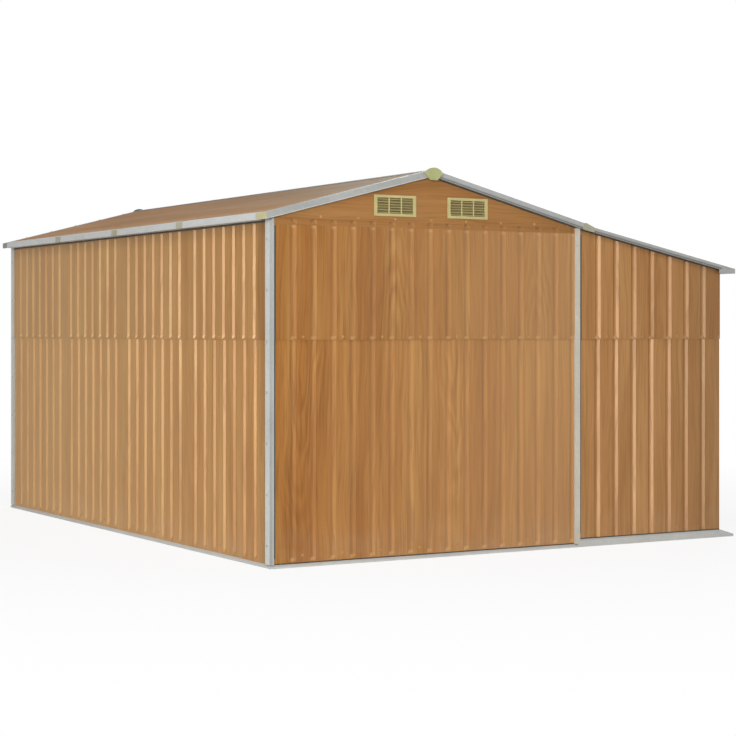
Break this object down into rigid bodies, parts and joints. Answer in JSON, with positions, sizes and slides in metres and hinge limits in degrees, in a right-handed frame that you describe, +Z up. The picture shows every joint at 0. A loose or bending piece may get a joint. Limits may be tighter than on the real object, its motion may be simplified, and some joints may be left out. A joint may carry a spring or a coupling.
{
  "type": "metal storage shed",
  "caption": "Ribbed sheet steel garden shed with a low gabled roof, a lean-to under a lower slope, louvred gable vents and galvanised posts, rails and roof trims.",
  "frame": {"origin": "on the ground under the middle of the outline", "axes": "+X along the closed end wall towards the lean-to, +Y along the building from the closed end to the door end, +Z up"},
  "size_m": [2.7158, 3.427, 1.8087],
  "materials": {
    "wall_sheet": "satin wood-tone print",
    "roof_sheet": "satin wood-tone print",
    "galvanised": "dull zinc",
    "cream_plastic": "matte"
  },
  "bodies": {
    "root": {"base_rail_left": "galvanised", "base_rail_right": "galvanised", "base_rail_closed_end": "galvanised", "base_rail_door_end": "galvanised", "base_rails_lean_to": "galvanised", "corner_post_closed_end": "galvanised", "corner_post_door_end": "galvanised", "mid_post_closed_end": "galvanised", "mid_post_door_end": "galvanised", "corner_angles_right": "galvanised", "left_wall_lower": "wall_sheet", "left_wall_upper": "wall_sheet", "right_wall_lower": "wall_sheet", "right_wall_upper": "wall_sheet", "closed_end_wall_lower": "wall_sheet", "closed_end_wall_upper": "wall_sheet", "lean_to_wall_lower": "wall_sheet", "lean_to_wall_upper": "wall_sheet", "door_end_wall_lower": "wall_sheet", "door_end_wall_upper": "wall_sheet", "lean_to_door_end_wall_lower": "wall_sheet", "lean_to_door_end_wall_upper": "wall_sheet", "door_jambs": "galvanised", "door_track": "galvanised", "door_leaf_left": "wall_sheet", "door_leaf_right": "wall_sheet", "door_handles": "cream_plastic", "gable_panel_closed_end": "wall_sheet", "gable_panel_door_end": "wall_sheet", "vent_closed_end_left": "cream_plastic", "vent_closed_end_right": "cream_plastic", "vents_door_end": "cream_plastic", "roof_left": "roof_sheet", "roof_right": "roof_sheet", "roof_lean_to": "roof_sheet", "ridge_cap": "galvanised", "ridge_end_caps": "cream_plastic", "verge_trim_left": "galvanised", "verge_trim_right": "galvanised", "verge_trim_lean_to": "galvanised", "verge_trims_door_end": "galvanised", "verge_joiners": "cream_plastic", "eave_trim_left": "galvanised", "eave_trim_lean_to": "galvanised", "eave_joiners": "cream_plastic", "eave_corner_caps": "cream_plastic", "top_rail_left": "galvanised", "top_rail_right": "galvanised", "ridge_beam": "galvanised", "knee_beam": "galvanised"}
  },
  "joints": []
}
